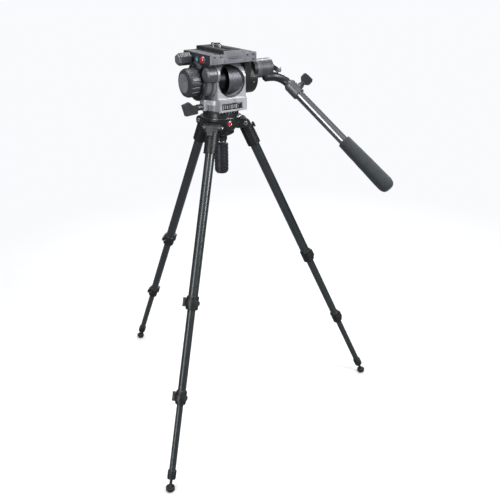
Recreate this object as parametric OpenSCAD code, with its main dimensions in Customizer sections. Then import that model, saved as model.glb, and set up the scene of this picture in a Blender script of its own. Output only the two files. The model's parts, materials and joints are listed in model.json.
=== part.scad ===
// Video tripod with a fluid head: bowl crown, three telescoping legs, half ball, pan and tilt head, pan bar.
// The origin is the root of the large camera screw on the plate's rubber face. +Y is the way the lens looks,
// +X is the operator's right, +Z is up.

/* [Camera plate] */
// Length of the sliding camera plate
plate_l = 144; // [120:2:150]
// Width of the plate across its top
plate_w = 62; // [56:1:64]
// Width of the platform that the plate slides in
platform_w = 145; // [140:1:148]
// Length of the platform
platform_l = 140; // [130:1:142]

/* [Head] */
// Drop from the plate's rubber face to the tilt axis
tilt_drop = 86; // [86:1:95]
// Drop from the tilt axis to the centre of the half ball
ball_drop = 95; // [95:1:100]
// Radius of the fluid drum that the head tilts on
drum_r = 42; // [40:0.5:43]
// Radius of the counterbalance knob
balance_r = 38.5; // [34:0.5:39]
// Length of the counterbalance knob
balance_l = 34; // [28:1:40]
// Radius of the levelling half ball
ball_r = 50; // [49:0.5:50]

/* [Pan bar] */
// Radius of the rosette joint
rosette_r = 26; // [24:0.5:27]
// Turn of the arm from straight sideways towards the operator
bar_turn = 72; // [60:1:80]
// Downward lean of the plane that the bar lies in
bar_lean = 40; // [25:0.5:45]
// Radius of the bar's tube
bar_r = 13.5; // [12:0.5:14]
// Length of the straight tube, with the part inside the collar
bar_l = 398; // [360:2:410]
// Length of the foam grip
grip_l = 186; // [150:2:190]

/* [Legs] */
// Lean of each leg away from the vertical
spread = 25; // [18:1:35]
// Turn of the tripod under the head
leg_yaw = 10; // [-20:1:30]
// Distance from the tripod's axis to each leg's hinge
hinge_r = 66; // [66:0.5:68]
// Distance along the leg from the hinge to the foot's ball
leg_l = 984; // [970:1:1010]
// Distance along the leg from the hinge to the upper lock
lock1 = 481; // [470:1:490]
// Distance along the leg from the hinge to the lower lock
lock2 = 739; // [730:1:750]
// Outer radius of the upper tube
tube1_r = 13.5; // [13:0.25:14]
// Outer radius of the middle tube
tube2_r = 11.25; // [11:0.25:11.25]
// Outer radius of the lower tube
tube3_r = 9; // [8.5:0.25:9]

/* [Hidden] */
$fn = 64;
LEG_PARTS = ["shoulder", "angle_latch", "upper_tube", "upper_collar", "upper_lever", "middle_tube",
             "lower_collar", "lower_lever", "lower_tube", "ankle", "foot"];
SIDES = ["left", "right", "front"];

fit = 0.05;          // radial clearance of every running fit
gap = 0.3;           // clearance between curved faces of different bodies
eps = 0.01;          // overlap that keeps a cut clean

// Main heights
platform_top = -10;
platform_t = 24;
tilt_z = -tilt_drop;
ball_z = tilt_z - ball_drop;

// Crown and hinges
bowl_r = ball_r + gap;
bowl_out_r = 57;
ring_r = 58;
ring_bottom = -30;
rim_z = -3;
bowl_hole_r = 20;
hinge_drop = 24;
hinge_z = ball_z - hinge_drop;
ear_r = 13;
ear_in = 17;
ear_out = 25;
pin_r = 4;
barrel_r = 12.5;
barrel_half = 16.8;

// Leg sections, measured down the leg from the hinge
sleeve_r = 19;
sleeve_top = 14;
sleeve_end = 72;
socket_top = 28;
latch_s = 21;
latch_r = 4;
wall = 1.4;
collar1_r = 17;
collar2_r = 14.5;
collar_half = 19;
seat = 8;            // depth below a lock's centre that the thicker tube reaches
middle_l = 430;
lower_l = 400;
bush_l = 18;
lever_half = 8;
pivot_gap = 6;
ankle_top = 938;
ankle_end = 962;
foot_ball_r = 6.5;
foot_r = 12;
foot_drop = 12;

// Half ball and tie-down
stud_r = 6;
level_tilt = 10;     // largest levelling tilt, in degrees
washer_in = bowl_out_r + gap;
washer_out = washer_in + 6;
washer_slot = washer_out * sin(level_tilt);
washer_r = 37;
handle_r = 20;

// Pan joint, measured up from the ball's centre
base_bottom = 8;
base_top = 32;
base_r = 46;
journal_r = 16;
journal_top = 48;
dial_bottom = 9.3;
dial_top = 15.5;
pan_lock_z = 26;
lock_boss_x = -60;      // outer face of the yoke's boss for the pan lock
deck_bottom = base_top + 0.4;
deck_top = 46;

// Tilt parts, along X
tower_x0 = -37;
tower_x1 = 53;
tower_mid = (tower_x0 + tower_x1) / 2;
tower_half_y = 47;
tower_r = drum_r + 6;
window_r = drum_r - 2;
drum_step = 4;
drum_journal_r = 14;
arm_in_x = -38.6;
arm_mid_x = -46;
arm_out_x = -70;
arm_plate_r = 46;
arm_disc_r = 40;
ring_x0 = -80;
index_r = 50;
right_x0 = 54;
right_x1 = 96;
right_r = 44;
boss_x1 = 112;
drag_y = -44;
drag_z = 23;
drag_r = 20;
rosette_y = -20;
rosette_z = 23;
hub_x0 = boss_x1 + 0.3;
hub_x1 = 148;
bend_x = 150;
screw_r = 6;
wing_x = 164;        // inner face of the rosette lock's wing
wing_t = 9;
wing_l = 28;         // half of the wing's length
wing_roll = 17.5;    // turn of the wing about its screw

// Pan bar
arm_r = 12.5;
arm_start_x = 124;
arm_y = -30;
arm_z = ball_z + 93;
bend_r = 46;
bar_collar_r = 18;
bar_collar_l = 46;
bar_in = 38;         // length of tube inside the collar
bar_knob_roll = -35; // turn of the wing knob about the bar
grip_r0 = 19.5;
grip_r1 = 23;

// Platform fittings on its left face
lock_y = 25;
lock_z = -27;
button_y = -33;
button_z = -25;
vial_y = -4;
vial_z = -26;
left_face = -platform_w / 2;

// Direction of a leg about the vertical axis
function leg_dir(i) = leg_yaw - 150 + 120 * i;

// Outline points of a ribbed wall going down from height z: each rib is 60 % land and 40 % groove
function ribs(r, depth, z, pitch, n) =
    [for (k = [0:n - 1])
        each [[r, z - k * pitch], [r, z - (k + 0.6) * pitch],
              [r - depth, z - (k + 0.6) * pitch], [r - depth, z - (k + 1) * pitch]]];

// A round bar along X between two stations
module x_bar(r, x0, x1) translate([x0, 0, 0]) rotate([0, 90, 0]) cylinder(r = r, h = x1 - x0);

// Frames
module leg_frame(i) rotate([0, 0, leg_dir(i)]) translate([hinge_r, 0, hinge_z]) rotate([0, -spread, 0]) children();
module tilt_frame() translate([0, 0, tilt_z]) children();
module ball_frame() translate([0, 0, ball_z]) children();
// The plane of the pan bar, with its origin at the arm's start
module arm_plane() translate([arm_start_x, arm_y, arm_z]) rotate([bar_lean, 0, 0]) children();
// The bar's own frame: +X runs along the tube, the origin is where the bend ends
module bar_frame()
    arm_plane() translate([bend_x - arm_start_x, -bend_r, 0]) rotate([0, 0, -bar_turn])
        translate([0, bend_r, 0]) children();

// ---------------------------------------------------------------- crown

module ear(s)
    translate([0, s * (ear_in + ear_out) / 2, -hinge_drop]) {
        translate([hinge_r, 0, 0]) rotate([90, 0, 0]) cylinder(r = ear_r, h = ear_out - ear_in, center = true);
        translate([40, -(ear_out - ear_in) / 2, -ear_r])
            cube([hinge_r - 40, ear_out - ear_in, 2 * ear_r]);
    }

module crown()
    color("#202124") ball_frame() difference() {
        union() {
            translate([0, 0, ring_bottom]) cylinder(r = ring_r, h = rim_z - ring_bottom);
            intersection() {
                sphere(r = bowl_out_r);
                translate([0, 0, -60]) cylinder(r = 60, h = 60 + ring_bottom + 1);
            }
            for (i = [0:2]) rotate([0, 0, leg_dir(i)]) {
                ear(-1);
                ear(1);
            }
        }
        sphere(r = bowl_r);
        translate([0, 0, -70]) cylinder(r = bowl_hole_r, h = 70);
        for (i = [0:2]) rotate([0, 0, leg_dir(i)]) {
            // slot for the leg's barrel and neck
            translate([52, -ear_in, -70]) cube([40, 2 * ear_in, 70 - hinge_drop + sleeve_top]);
            translate([hinge_r, 0, -hinge_drop]) rotate([90, 0, 0])
                cylinder(r = pin_r + 0.02, h = 60, center = true);
        }
    }

module hinge_pins()
    color("#c9ccd0") for (i = [0:2]) rotate([0, 0, leg_dir(i)]) translate([hinge_r, 0, hinge_z])
        rotate([90, 0, 0]) {
            cylinder(r = pin_r, h = 2 * ear_out, center = true);
            for (s = [-1, 1]) translate([0, 0, s * (ear_out + 1)]) cylinder(r = 6.5, h = 2, center = true);
        }

// ---------------------------------------------------------------- legs

module shoulder()
    color("#1b1c1e") difference() {
        union() {
            rotate([90, 0, 0]) cylinder(r = barrel_r, h = 2 * barrel_half, center = true);
            translate([-11, -barrel_half, -sleeve_top - 2]) cube([22, 2 * barrel_half, sleeve_top + 2]);
            rotate_extrude() polygon(concat(
                [[0, -sleeve_top], [sleeve_r - 2, -sleeve_top]],
                ribs(sleeve_r, 1.5, -sleeve_top - 2, 6.5, 8),
                [[sleeve_r, -sleeve_top - 54], [sleeve_r, -sleeve_end], [0, -sleeve_end]]));
        }
        rotate([90, 0, 0]) cylinder(r = pin_r + fit, h = 60, center = true);
        translate([0, 0, -sleeve_end - 1]) cylinder(r = tube1_r + fit, h = sleeve_end - socket_top + 1);
        translate([4, 0, -latch_s]) rotate([0, 90, 0]) cylinder(r = latch_r + fit, h = 40);
    }

// Spring tab that releases the leg's angle stop
module angle_latch()
    color("#2a2b2e") translate([0, 0, -latch_s]) {
        x_bar(latch_r, 5, sleeve_r + 1.5);
        translate([sleeve_r + 1, -8, -6]) cube([4.5, 16, 12]);
    }

module tube(r, s0, s1)
    difference() {
        translate([0, 0, -s1]) cylinder(r = r, h = s1 - s0);
        translate([0, 0, -s1 - 1]) cylinder(r = r - wall, h = s1 - s0 + 2);
    }

// A telescoping tube with its guide bush at the top
module sliding_tube(r, bush_r, s0, s1)
    difference() {
        union() {
            translate([0, 0, -s1]) cylinder(r = r, h = s1 - s0);
            translate([0, 0, -s0 - bush_l]) cylinder(r = bush_r, h = bush_l);
        }
        translate([0, 0, -s1 - 1]) cylinder(r = r - wall, h = s1 - s0 + 2);
    }

module upper_tube() color("#33393b") tube(tube1_r, socket_top + 0.2, lock1 + seat);
module middle_tube() color("#33393b")
    sliding_tube(tube2_r, tube1_r - wall - fit, lock2 + seat - middle_l, lock2 + seat);
module lower_tube() color("#33393b")
    sliding_tube(tube3_r, tube2_r - wall - fit, ankle_top + 14 - lower_l, ankle_top + 14);

// Lock collar: holds the thicker tube from above and guides the thinner one, with a fork for its lever
module lock_collar(s, r, r_up, r_down)
    color("#161718") translate([0, 0, -s]) difference() {
        union() {
            rotate_extrude() polygon([[0, collar_half], [r - 2, collar_half], [r, collar_half - 2],
                                      [r, 2 - collar_half], [r - 2, -collar_half], [0, -collar_half]]);
            for (z = [lever_half + 0.3, -lever_half - 4.3]) {
                translate([0, -r - pivot_gap, z]) cylinder(r = 5, h = 4);
                translate([-5, -r - pivot_gap, z]) cube([10, pivot_gap + 4, 4]);
            }
            translate([0, -r - pivot_gap, 0]) cylinder(r = 2, h = 2 * lever_half + 1, center = true);
        }
        translate([0, 0, -seat - 0.2]) cylinder(r = r_up, h = 60);
        translate([0, 0, -60]) cylinder(r = r_down, h = 61);
    }

// Flip lever: a curved plate that hugs the collar and turns about a pin beside it
module lock_lever(s, r)
    color("#121314") translate([0, 0, -s]) difference() {
        union() {
            rotate([0, 0, -78]) rotate_extrude(angle = 140) translate([r + 0.7, -lever_half])
                square([3.6, 2 * lever_half]);
            rotate([0, 0, 62]) translate([r + 4.2, 0, 0])
                cylinder(r = 3.2, h = 2 * lever_half - 2, center = true);
            translate([0, -r - pivot_gap, 0]) cylinder(r = 4.8, h = 2 * lever_half - 0.6, center = true);
            translate([0, -r - pivot_gap - 2.5, 1.5 - lever_half]) cube([6.5, 6.8, 2 * lever_half - 3]);
        }
        translate([0, -r - pivot_gap, 0]) cylinder(r = 2 + fit, h = 40, center = true);
    }

module ankle()
    color("#161718") difference() {
        union() {
            rotate_extrude() polygon(concat(
                [[0, -ankle_top], [tube3_r + 2.5, -ankle_top]],
                ribs(tube3_r + 3, 0.8, -ankle_top - 1, 5, 4),
                [[tube3_r + 2.5, 1 - ankle_end], [tube3_r, -ankle_end], [0, -ankle_end]]));
            translate([0, 0, -leg_l]) cylinder(r = 4, h = leg_l - ankle_end + 1);
            translate([0, 0, -leg_l]) sphere(r = foot_ball_r);
        }
        translate([0, 0, -ankle_top - 14.2]) cylinder(r = tube3_r + fit, h = 20);
    }

// Rubber foot that swivels on the ankle's ball
module foot(i)
    color("#0e0f10") rotate([0, 0, leg_dir(i)])
        translate([hinge_r + leg_l * sin(spread), 0, hinge_z - leg_l * cos(spread)])
            difference() {
                rotate_extrude() union() {
                    polygon([[0, 2.5], [foot_r - 1.5, 2.5], [foot_r, 1], [foot_r, 5 - foot_drop],
                             [foot_r - 4, -foot_drop], [0, -foot_drop]]);
                }
                sphere(r = foot_ball_r + gap);
                translate([0, 0, 0.6]) cylinder(r1 = 6, r2 = 11, h = 3);
            }

// ---------------------------------------------------------------- ball and tie-down

module half_ball()
    color("#33353a") ball_frame() difference() {
        intersection() {
            sphere(r = ball_r);
            translate([0, 0, -47]) cylinder(r = ball_r + 1, h = 47 + base_bottom);
        }
        translate([0, 0, -ball_r]) cylinder(r = stud_r + 0.02, h = ball_r - 22);
    }

module ball_stud() color("#b4b7ba") ball_frame() translate([0, 0, -118]) cylinder(r = stud_r, h = 118 - 22.2);

// Dished washer under the bowl: it tilts about X on the bowl, and its slot lets the stud tilt about Y
module clamp_washer()
    color("#2b2c2f") ball_frame() difference() {
        intersection() {
            sphere(r = washer_out);
            translate([0, 0, -70]) cylinder(r = washer_r, h = 50);
        }
        sphere(r = washer_in);
        for (s = [-1, 1]) translate([s * washer_slot, 0, -70]) cylinder(r = stud_r + fit, h = 40);
        translate([-washer_slot, -stud_r - fit, -70]) cube([2 * washer_slot, 2 * (stud_r + fit), 40]);
    }

module tie_down_handle()
    color("#3a3b3f") ball_frame() difference() {
        rotate_extrude() polygon(concat(
            [[0, -52], [13, -52], [17, -58], [17, -72], [14, -75], [14, -79], [18, -82]],
            ribs(handle_r, 1, -84, 10, 8),
            [[handle_r - 1, -164], [handle_r - 5, -169], [0, -169]]));
        sphere(r = washer_out + gap);
        translate([0, 0, -122]) cylinder(r = stud_r + fit, h = 90);
    }

// ---------------------------------------------------------------- pan

module pan_base()
    color("#8b8f96") ball_frame() difference() {
        union() {
            translate([0, 0, base_bottom]) cylinder(r = base_r, h = base_top - base_bottom);
            translate([0, 0, base_bottom]) cylinder(r = journal_r, h = journal_top - base_bottom);
        }
        // hollow for the fixing screws, closed by the ball
        translate([0, 0, base_bottom - 1]) cylinder(r = 10, h = 30);
    }

module pan_drag_dial()
    color("#26282b") ball_frame() difference() {
        union() {
            translate([0, 0, dial_bottom]) cylinder(r = 51, h = dial_top - dial_bottom);
            for (a = [-120:10:-60]) rotate([0, 0, a]) translate([49, -1.5, dial_bottom + 0.6])
                cube([4, 3, dial_top - dial_bottom - 1.2]);
        }
        translate([0, 0, dial_bottom - 1]) cylinder(r = base_r + fit, h = 20);
    }

module pan_lock_wing()
    color("#3c3f44") ball_frame() translate([0, 0, pan_lock_z]) {
        x_bar(5, -66, -base_r - 1);
        x_bar(8.5, -76, lock_boss_x - 0.3);
        rotate([90, 0, 0]) linear_extrude(13, center = true)
            polygon([[-76, -16], [-112, -19], [-121, 11], [-100, 17], [-88, 6], [-76, 6]]);
    }

module yoke()
    color("#9a9ea6") difference() {
        union() {
            ball_frame() translate([0, 0, deck_bottom]) cylinder(r = 50, h = deck_top - deck_bottom);
            // housing over the drag dial, at the operator's side
            ball_frame() translate([-36, -57, dial_top + 1]) cube([86, 30, 50 - dial_top - 1]);
            // boss of the pan lock
            ball_frame() translate([lock_boss_x, -11, dial_top + 1]) cube([30, 22, deck_top - dial_top - 1]);
            tilt_frame() intersection() {
                union() {
                    x_bar(tower_r, tower_x0, tower_x1);
                    translate([tower_x0, -tower_half_y, deck_bottom - ball_drop + 1])
                        cube([tower_x1 - tower_x0, 2 * tower_half_y, ball_drop - deck_bottom - 1]);
                }
                translate([-100, -tower_half_y, -100]) cube([200, 2 * tower_half_y, 200]);
            }
        }
        // seat of the pan base and its journal
        ball_frame() cylinder(r = base_r + gap, h = deck_bottom);
        ball_frame() translate([0, 0, pan_lock_z]) x_bar(5 + fit, lock_boss_x - 1, -40);
        ball_frame() cylinder(r = journal_r + fit, h = journal_top + 0.3);
        // bore of the fluid drum, and a window on each face
        tilt_frame() x_bar(drum_r + fit, tower_x0 - 1, tower_x1 + 1);
        tilt_frame() translate([tower_mid, 0, 0]) rotate([90, 0, 0])
            cylinder(r = window_r, h = 200, center = true);
        // recess of the dial housing's face
        ball_frame() translate([-30, -58, dial_top + 6]) cube([66, 4, 18]);
    }

// ---------------------------------------------------------------- tilt

module tilt_drum()
    color("#7d8188") tilt_frame() rotate([0, 90, 0]) rotate_extrude() polygon(concat(
        [[0, -62], [drum_journal_r, -62], [drum_journal_r, tower_x0 + 0.2], [30, tower_x0 + 0.2],
         [30, drum_step], [drum_r, drum_step]],
        [for (k = [0:7]) each [[drum_r, drum_step + 3 + 5 * k], [drum_r - 0.8, drum_step + 3.5 + 5 * k],
                               [drum_r - 0.8, drum_step + 5 + 5 * k], [drum_r, drum_step + 5.5 + 5 * k]]],
        [[drum_r, tower_x1 - 0.2], [drum_journal_r, tower_x1 - 0.2], [drum_journal_r, 80], [0, 80]]));

module cradle()
    color("#6f737b") difference() {
        union() {
            translate([-platform_w / 2, -platform_l / 2, platform_top - platform_t])
                cube([platform_w, platform_l, platform_t]);
            tilt_frame() {
                x_bar(arm_plate_r, arm_mid_x, arm_in_x);
                translate([arm_mid_x, -arm_plate_r, 0])
                    cube([arm_in_x - arm_mid_x, 2 * arm_plate_r, tilt_drop + platform_top - platform_t]);
                x_bar(arm_disc_r, arm_out_x, arm_mid_x + 1);
                translate([arm_out_x, -10, 0])
                    cube([arm_mid_x - arm_out_x + 1, 55, tilt_drop + platform_top - platform_t]);
                translate([0, drag_y, drag_z]) x_bar(drag_r + 2, arm_mid_x, arm_in_x);
            }
        }
        // dovetail channel
        rotate([90, 0, 0]) linear_extrude(200, center = true)
            polygon([[-plate_w / 2 - 1.15, 1], [-plate_w / 2 - 1.15, platform_top], [-plate_w / 2 - 3.1, -12],
                     [-plate_w / 2 - 3.1, -17.1], [plate_w / 2 + 3.1, -17.1], [plate_w / 2 + 3.1, -12],
                     [plate_w / 2 + 1.15, platform_top], [plate_w / 2 + 1.15, 1]]);
        tilt_frame() {
            x_bar(drum_journal_r + 0.02, -62.2, -30);
            x_bar(8 + fit, -90, -64);
            // scallop and shaft hole of the drag knob
            translate([0, drag_y, drag_z]) x_bar(drag_r + 0.6, -90, arm_mid_x);
            translate([0, drag_y, drag_z]) x_bar(5 + fit, -60, arm_in_x - 2);
        }
        translate([0, lock_y, lock_z]) x_bar(5 + fit, left_face - 1, left_face + 24);
        translate([0, button_y, button_z]) x_bar(8 + fit, left_face - 1, left_face + 14);
        translate([0, vial_y, vial_z]) x_bar(7.02, left_face - 1, left_face + 8);
    }

module right_arm()
    color("#1d1e20") difference() {
        union() {
            tilt_frame() {
                x_bar(right_r, right_x0, right_x1);
                translate([right_x0, -right_r, 0])
                    cube([platform_w / 2 - right_x0, 2 * right_r - 6, tilt_drop + platform_top - platform_t]);
                translate([0, rosette_y, rosette_z]) x_bar(rosette_r, right_x1 - 10, boss_x1);
            }
        }
        tilt_frame() {
            x_bar(drum_journal_r + 0.02, right_x0 - 1, 80.2);
            translate([0, rosette_y, rosette_z]) x_bar(screw_r + fit, 92, boss_x1 + 1);
        }
    }

module balance_ring()
    color("#17181a") tilt_frame() difference() {
        rotate([0, 90, 0]) rotate_extrude() polygon([
            [26, ring_x0], [index_r - 3, ring_x0], [index_r, ring_x0 + 3], [index_r, arm_out_x],
            [26, arm_out_x]]);
        translate([0, drag_y, drag_z]) x_bar(drag_r + 0.9, -90, -60);
    }

module balance_knob()
    color("#3b3e43") tilt_frame() difference() {
        union() {
            x_bar(8, -100, -64.2);
            rotate([0, -90, 0]) rotate_extrude() polygon([
                [0, -ring_x0 + 1], [balance_r, -ring_x0 + 1], [balance_r, -ring_x0 + balance_l - 9],
                [balance_r - 3, -ring_x0 + balance_l - 3], [balance_r - 12, -ring_x0 + balance_l + 1],
                [0, -ring_x0 + balance_l + 2]]);
        }
        // finger flutes around the rim
        for (a = [0:20:340]) rotate([a, 0, 0]) translate([0, 0, balance_r + 1.2])
            x_bar(3, ring_x0 - balance_l - 4, ring_x0 + 1);
    }

module tilt_drag_knob()
    color("#4a4d53") tilt_frame() translate([0, drag_y, drag_z]) {
        x_bar(5, -50, arm_in_x - 2.4);
        rotate([0, -90, 0]) rotate_extrude() polygon([
            [0, 46.4], [drag_r, 46.4], [drag_r, 70], [drag_r - 4, 74], [drag_r - 10, 76.5], [0, 77.5]]);
    }

module plate_lock_lever()
    color("#34373c") translate([0, lock_y, lock_z]) {
        x_bar(5, left_face - 12, left_face + 23);
        x_bar(9, left_face - 10, left_face - 0.3);
        translate([left_face - 40, 0, 0]) rotate([0, 90, 0]) cylinder(r = 17, h = 31, $fn = 6);
        translate([left_face - 45, 0, 0]) rotate([0, 90, 0]) cylinder(r = 14, h = 6, $fn = 6);
    }

module safety_button()
    color("#c3141c") translate([0, button_y, button_z]) {
        x_bar(8, left_face - 3, left_face + 8);
        intersection() {
            translate([left_face + 3, 0, 0]) sphere(r = 10);
            x_bar(8, left_face - 12, left_face - 2.5);
        }
    }

module bubble_level()
    color("#7fb8b4") translate([0, vial_y, vial_z]) x_bar(7, left_face - 1.5, left_face + 7.8);

// ---------------------------------------------------------------- camera plate

module slide_plate()
    color("#4b4f55") difference() {
        rotate([90, 0, 0]) linear_extrude(plate_l, center = true)
            polygon([[-plate_w / 2, -1], [-plate_w / 2, -9], [-plate_w / 2 - 3, -12], [-plate_w / 2 - 3, -17],
                     [plate_w / 2 + 3, -17], [plate_w / 2 + 3, -12], [plate_w / 2, -9], [plate_w / 2, -1]]);
        // slot for the camera screws, wider below for their heads
        translate([-5.2, -50, -20]) cube([10.4, 100, 30]);
        translate([-9.2, -54, -20]) cube([18.4, 108, 12]);
        for (s = [-1, 1]) translate([s * 18 - 9.02, -62.02, -2.02]) cube([18.04, 124.04, 10]);
    }

module plate_rubber()
    color("#26282a") for (s = [-1, 1]) translate([s * 18 - 9, -62, -2]) cube([18, 124, 2]);

// A captive screw: thread above the plate, relieved shank in the slot, head below
module camera_screw(r, h, head_r) {
    cylinder(r = r, h = h);
    translate([0, 0, -8.5]) cylinder(r = r - 0.5, h = 8.5 + eps);
    translate([0, 0, -14]) cylinder(r = head_r, h = 5.8);
}

// Two camera screws: a large one at the origin and a small one ahead of it
module camera_screws()
    color("#aab0b4") {
        camera_screw(4.76, 7.5, 8);
        translate([0, 34, 0]) camera_screw(3.175, 6, 7);
    }

// ---------------------------------------------------------------- pan bar

module rosette_lever()
    color("#50545a") tilt_frame() translate([0, rosette_y, rosette_z]) {
        x_bar(screw_r, 93, hub_x1 + 6);
        x_bar(11, hub_x1 + 0.3, hub_x1 + 8);
        x_bar(7, hub_x1 + 7, wing_x + 1);
        // flat wing across the end of the neck
        translate([wing_x, 0, 0]) rotate([wing_roll, 0, 0]) rotate([90, 0, 90]) linear_extrude(wing_t)
            polygon([[-wing_l, -4], [-wing_l + 5, -7.5], [wing_l - 5, -7.5], [wing_l, -4],
                     [wing_l, 4], [wing_l - 5, 7.5], [-wing_l + 5, 7.5], [-wing_l, 4]]);
    }

module bar_arm()
    color("#2b2d30") difference() {
        union() {
            tilt_frame() translate([0, rosette_y, rosette_z]) x_bar(rosette_r, hub_x0, hub_x1);
            arm_plane() {
                // straight part, stepped in a little where it enters the bend
                x_bar(arm_r - 0.4, 6, bend_x - arm_start_x + 2);
                rotate([0, 90, 0]) cylinder(r1 = arm_r - 5, r2 = arm_r - 0.4, h = 6);
                translate([bend_x - arm_start_x, -bend_r, 0]) rotate([0, 0, 90 - bar_turn])
                    rotate_extrude(angle = bar_turn) translate([bend_r, 0]) circle(r = arm_r);
            }
            bar_frame() {
                rotate([0, 90, 0]) rotate_extrude() polygon([
                    [0, -4], [arm_r - 1, -4], [bar_collar_r, 6], [bar_collar_r, bar_collar_l - 2],
                    [bar_collar_r - 2, bar_collar_l], [0, bar_collar_l]]);
                translate([bar_collar_l - 16, 0, 0]) rotate([bar_knob_roll, 0, 0]) cylinder(r = 9, h = 24);
            }
        }
        tilt_frame() translate([0, rosette_y, rosette_z]) x_bar(screw_r + fit, 90, hub_x1 + 1);
        bar_frame() x_bar(bar_r + fit, bar_collar_l - bar_in - 2, bar_collar_l + 1);
        bar_frame() translate([bar_collar_l - 16, 0, 0]) rotate([bar_knob_roll, 0, 0])
            translate([0, 0, bar_r + 1]) cylinder(r = 4 + fit, h = 20);
    }

module bar_knob()
    color("#3a3d42") bar_frame() translate([bar_collar_l - 16, 0, 0]) rotate([bar_knob_roll, 0, 0]) {
        translate([0, 0, bar_r + 1.4]) cylinder(r = 4, h = 14);
        translate([0, 0, 24.3]) cylinder(r = 7, h = 9);
        // flat wing with cut corners
        rotate([90, 0, 25]) linear_extrude(10, center = true)
            polygon([[-9, 31], [9, 31], [16, 38], [16, 51], [12, 56], [-12, 56], [-16, 51], [-16, 38]]);
    }

module bar_tube()
    color("#5d6166") bar_frame() difference() {
        x_bar(bar_r, bar_collar_l - bar_in, bar_collar_l - bar_in + bar_l);
        x_bar(bar_r - 1.5, bar_collar_l - bar_in - 1, bar_collar_l - bar_in + bar_l - 4);
    }

module foam_grip() {
    x_end = bar_collar_l - bar_in + bar_l + 10;
    x_start = x_end - grip_l;
    color("#31383b") bar_frame() difference() {
        rotate([0, 90, 0]) rotate_extrude() polygon([
            [0, x_start], [grip_r0 - 2, x_start], [grip_r0, x_start + 2], [grip_r1, x_end - 22],
            [grip_r1 - 2, x_end - 11], [grip_r1 - 8, x_end - 3], [grip_r1 - 15, x_end], [0, x_end]]);
        x_bar(bar_r + 0.02, x_start - 1, x_end - 9.8);
    }
}

// ---------------------------------------------------------------- nodes

crown();
hinge_pins();
half_ball();
ball_stud();
clamp_washer();
tie_down_handle();
pan_base();
pan_drag_dial();
pan_lock_wing();
yoke();
tilt_drum();
cradle();
right_arm();
balance_ring();
balance_knob();
tilt_drag_knob();
plate_lock_lever();
safety_button();
bubble_level();
slide_plate();
plate_rubber();
camera_screws();
rosette_lever();
bar_arm();
bar_knob();
bar_tube();
foam_grip();

for (i = [0:2]) {
    leg_frame(i) shoulder();
    leg_frame(i) angle_latch();
    leg_frame(i) upper_tube();
    leg_frame(i) lock_collar(lock1, collar1_r, tube1_r + fit, tube2_r + fit);
    leg_frame(i) lock_lever(lock1, collar1_r);
    leg_frame(i) middle_tube();
    leg_frame(i) lock_collar(lock2, collar2_r, tube2_r + fit, tube3_r + fit);
    leg_frame(i) lock_lever(lock2, collar2_r);
    leg_frame(i) lower_tube();
    leg_frame(i) ankle();
    foot(i);
}
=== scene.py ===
import json
import math

import bmesh
import bpy
from mathutils import Matrix, Vector, noise


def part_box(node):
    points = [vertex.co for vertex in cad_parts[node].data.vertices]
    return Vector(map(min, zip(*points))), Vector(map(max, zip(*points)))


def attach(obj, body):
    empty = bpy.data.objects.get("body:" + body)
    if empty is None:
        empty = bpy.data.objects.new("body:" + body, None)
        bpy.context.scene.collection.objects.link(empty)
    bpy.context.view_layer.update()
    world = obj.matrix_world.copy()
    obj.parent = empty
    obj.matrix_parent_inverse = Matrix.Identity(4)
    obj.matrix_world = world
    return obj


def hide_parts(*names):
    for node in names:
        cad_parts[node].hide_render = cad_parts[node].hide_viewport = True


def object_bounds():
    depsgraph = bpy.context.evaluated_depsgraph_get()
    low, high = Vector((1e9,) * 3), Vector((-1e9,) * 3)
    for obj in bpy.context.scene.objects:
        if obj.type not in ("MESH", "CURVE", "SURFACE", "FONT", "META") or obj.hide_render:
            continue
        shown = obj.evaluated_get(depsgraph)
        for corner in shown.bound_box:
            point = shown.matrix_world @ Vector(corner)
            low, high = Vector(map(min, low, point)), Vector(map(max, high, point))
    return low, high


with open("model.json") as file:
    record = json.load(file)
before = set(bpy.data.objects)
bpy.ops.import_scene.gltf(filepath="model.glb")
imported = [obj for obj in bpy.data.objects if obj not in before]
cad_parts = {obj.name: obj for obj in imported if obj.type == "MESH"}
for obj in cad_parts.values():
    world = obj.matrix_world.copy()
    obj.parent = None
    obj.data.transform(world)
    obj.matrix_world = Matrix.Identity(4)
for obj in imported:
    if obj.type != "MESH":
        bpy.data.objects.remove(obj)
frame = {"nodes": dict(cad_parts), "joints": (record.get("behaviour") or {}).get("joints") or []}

CAD_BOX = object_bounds()
MM = 0.001                     # pieces are drawn in mm, everything else is in metres
JOINTS = {j["name"]: j for j in frame["joints"]}
SIDES = ("left", "right", "front")


def anchor(name):
    return Vector(JOINTS[name]["pos_m"])


def axis(name):
    return Vector(JOINTS[name]["axis"]).normalized()


def middle(node):
    lo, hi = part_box(node)
    return (Vector(lo) + Vector(hi)) / 2


# ---------------------------------------------------------------- frames of the object, from its joints

TILT = anchor("tilt_turn")
BALL = anchor("pan_turn")
DRAG = anchor("tilt_drag_turn")
ROSETTE = anchor("bar_swing")
BAR_WAY = axis("bar_extend")
BAR_MID = middle("bar_tube")
KNOB_WAY = axis("bar_lock_turn")
KNOB_AT = anchor("bar_lock_turn")
X, Y, Z = Vector((1, 0, 0)), Vector((0, 1, 0)), Vector((0, 0, 1))


def basis(origin, x, y, z):
    """The matrix of a frame given by its origin and its three axes."""
    m = Matrix((x, y, z)).transposed().to_4x4()
    m.translation = origin
    return m


def along(origin, way):
    """A frame whose Z runs along way."""
    return Matrix.Translation(origin) @ way.to_track_quat("Z", "Y").to_matrix().to_4x4()


def leg_frame(side):
    """The leg's frame: X away from the tripod's axis, Y across the leg, Z up the leg, origin on the hinge."""
    across = -axis("leg_spread_" + side)
    up = -axis("middle_slide_" + side)
    return basis(anchor("leg_spread_" + side), across.cross(up), across, up)


def ray(degrees):
    """The level direction at an angle from X."""
    return Vector((math.cos(math.radians(degrees)), math.sin(math.radians(degrees)), 0))


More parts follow.
